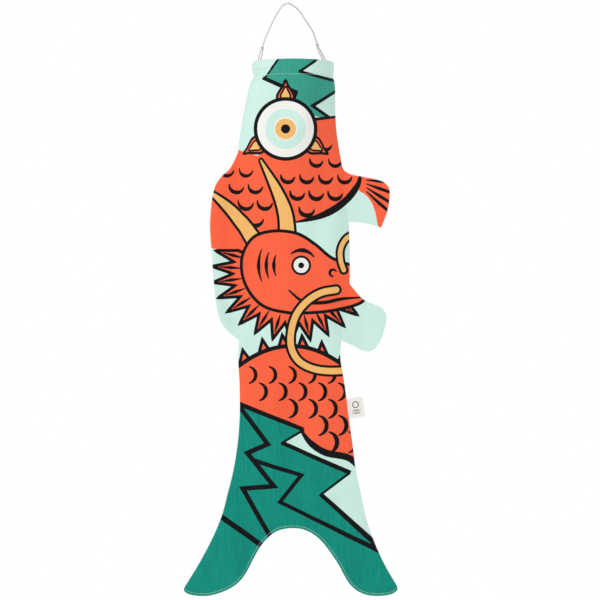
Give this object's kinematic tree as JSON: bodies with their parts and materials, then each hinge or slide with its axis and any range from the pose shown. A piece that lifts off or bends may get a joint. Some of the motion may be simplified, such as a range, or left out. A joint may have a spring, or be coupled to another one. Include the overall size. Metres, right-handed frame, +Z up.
{
  "type": "carp streamer",
  "caption": "Fish-shaped printed cloth wind streamer: an open tube on a flat hoop, with side fins and a forked tail, hung from a string bridle.",
  "frame": {"origin": "inside the top of the string bridle, where a hook or line carries the streamer", "axes": "+Z up along the hanging streamer, towards the hook; the printed front faces -Y; +X is to the right in the front view, on the side of the two short fins"},
  "size_m": [0.285, 0.1096, 0.7806],
  "materials": {
    "printed_cloth": "matte",
    "casing_cloth": "matte",
    "hem_cloth": "matte",
    "string": "matte",
    "thread": "matte",
    "label_tape": "matte",
    "hoop_plastic": "satin"
  },
  "bodies": {
    "bridle": {"bridle_cord": "string", "left_knot": "string", "right_knot": "string", "left_loop": "string", "right_loop": "string"},
    "torso": {"hoop_strip": "hoop_plastic", "hoop_joiner": "hoop_plastic", "left_hitch": "string", "right_hitch": "string", "front_casing": "casing_cloth", "back_casing": "casing_cloth", "casing_thread": "thread", "front_panel_upper": "printed_cloth", "back_panel_upper": "printed_cloth"},
    "loin": {"front_panel_middle": "printed_cloth", "back_panel_middle": "printed_cloth"},
    "tail": {"front_panel_lower": "printed_cloth", "back_panel_lower": "printed_cloth", "front_tail_hem": "hem_cloth", "back_tail_hem": "hem_cloth", "front_hem_thread": "thread", "back_hem_thread": "thread"},
    "label": {"seam_label": "label_tape"}
  },
  "joints": [
    {"name": "bridle_swing", "type": "hinge", "parent": "bridle", "child": "torso", "pos_m": [0.007, 0, -0.0753], "axis": [0.866, 0.5, 0], "range_deg": [-70, 70]},
    {"name": "belly_sway", "type": "hinge", "parent": "torso", "child": "loin", "pos_m": [0.002, 0, -0.465], "axis": [1, 0, 0], "range_deg": [-35, 35]},
    {"name": "tail_sway", "type": "hinge", "parent": "loin", "child": "tail", "pos_m": [0.0095, 0, -0.615], "axis": [1, 0, 0], "range_deg": [-40, 40]},
    {"name": "label_flap", "type": "hinge", "parent": "loin", "child": "label", "pos_m": [0.0817, 0, -0.5456], "axis": [-0.1564, 0, 0.9877], "range_deg": [-75, 75], "stiffness_Nm_per_rad": 0.00002}
  ]
}
